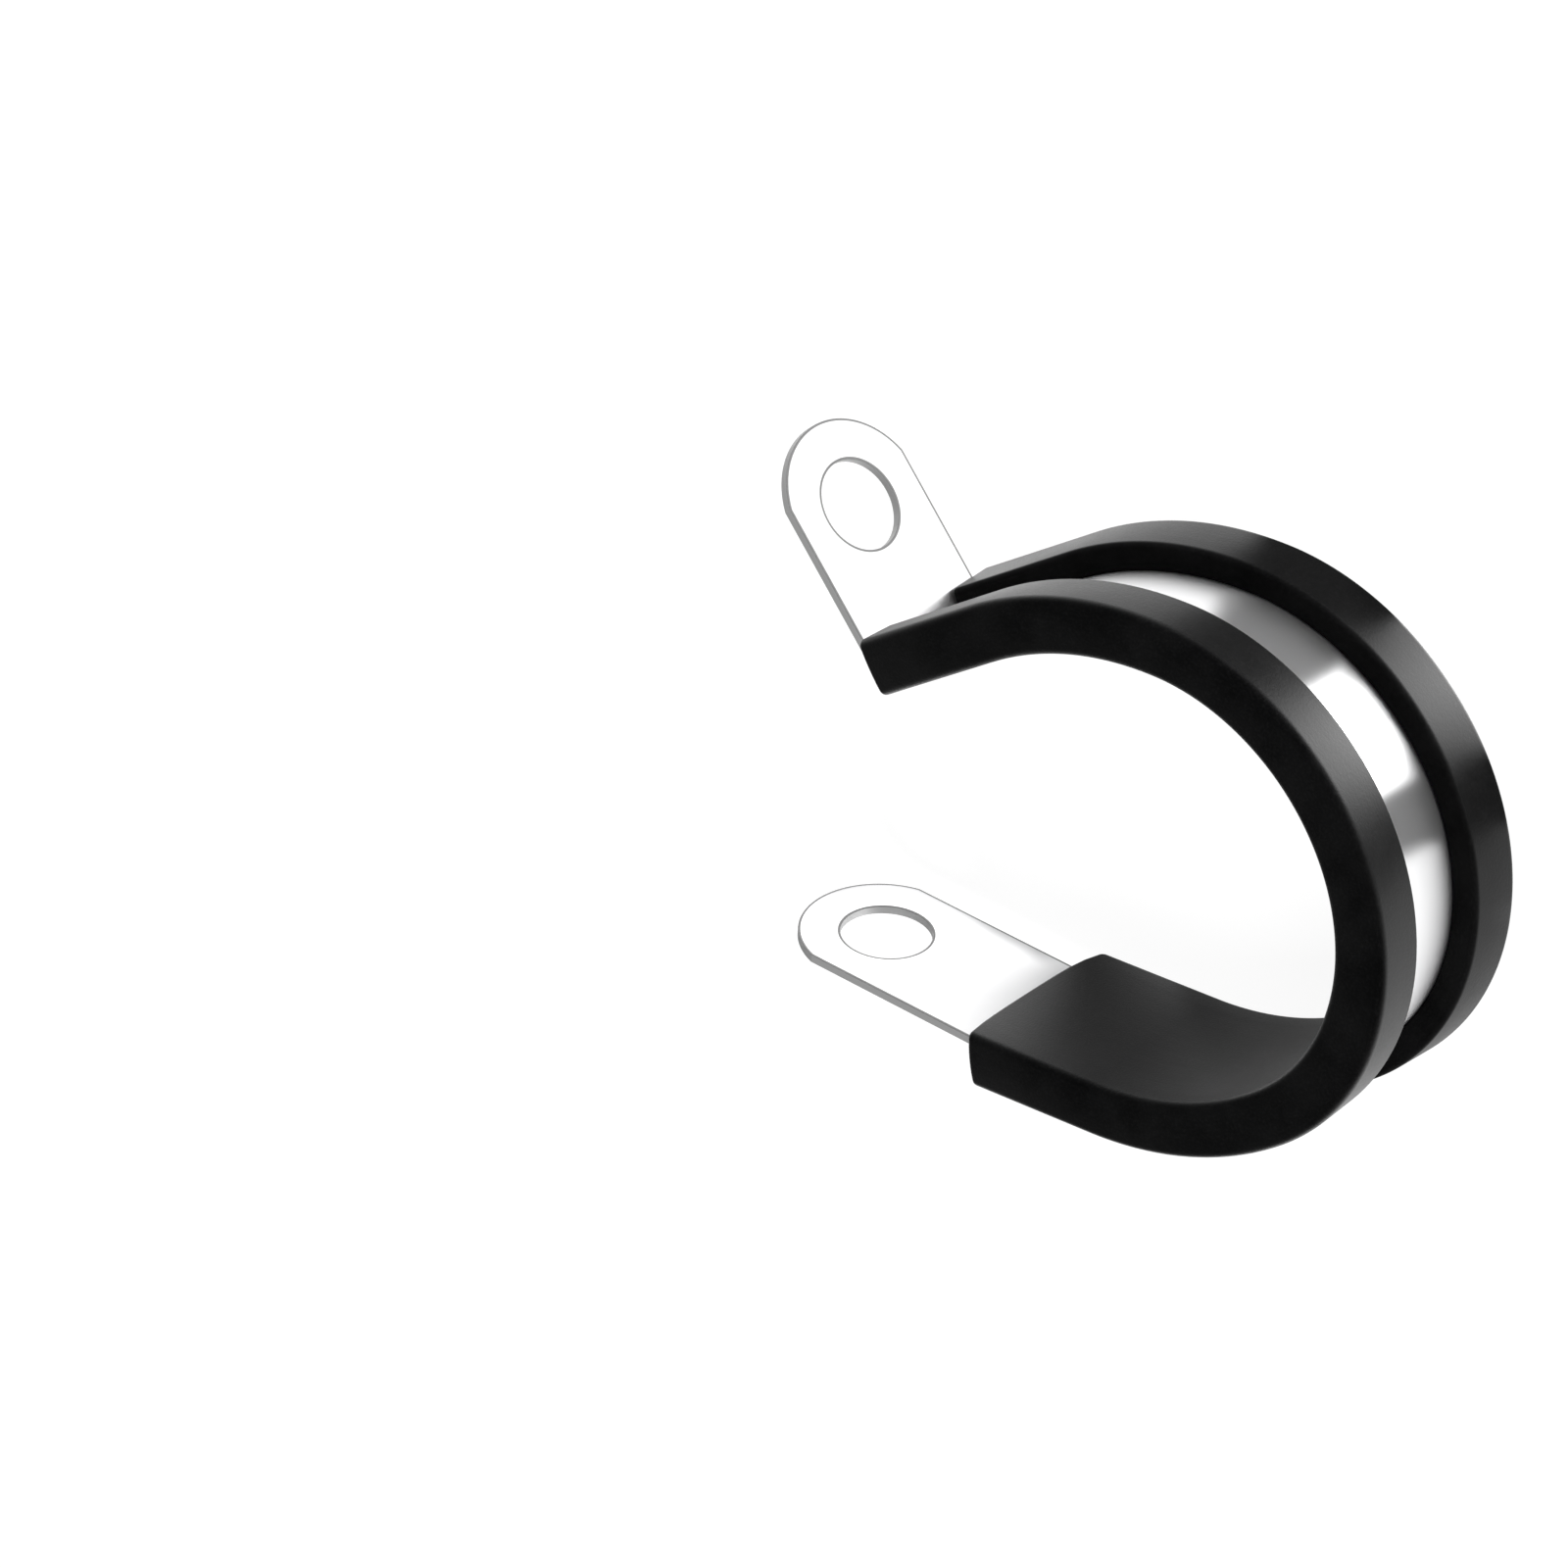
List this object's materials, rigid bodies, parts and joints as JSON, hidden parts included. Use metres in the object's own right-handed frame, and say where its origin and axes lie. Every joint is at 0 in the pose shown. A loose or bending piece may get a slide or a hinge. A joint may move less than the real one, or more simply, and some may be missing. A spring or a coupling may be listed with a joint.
{
  "type": "p clip",
  "caption": "Rubber-lined P clip: a bent steel strip with a bolt hole in each end tab and a channel cushion round its open loop, for fixing a cable or hose to a panel.",
  "frame": {"origin": "centre of the round part of the loop, at the middle of the strip's width", "axes": "+Z along the cable that the loop holds; +X from the lower tab towards the back of the loop; +Y from the lower tab up to the open upper arm"},
  "size_m": [0.0563, 0.0426, 0.0152],
  "materials": {
    "strip_steel": "stainless strip with a bright, lightly grained rolled finish and sheared edges",
    "cushion_rubber": "black moulded rubber, matt, with a soft sheen on its rounded edges"
  },
  "bodies": {
    "root": {"steel_band": "strip_steel", "rubber_cushion": "cushion_rubber"}
  },
  "joints": []
}
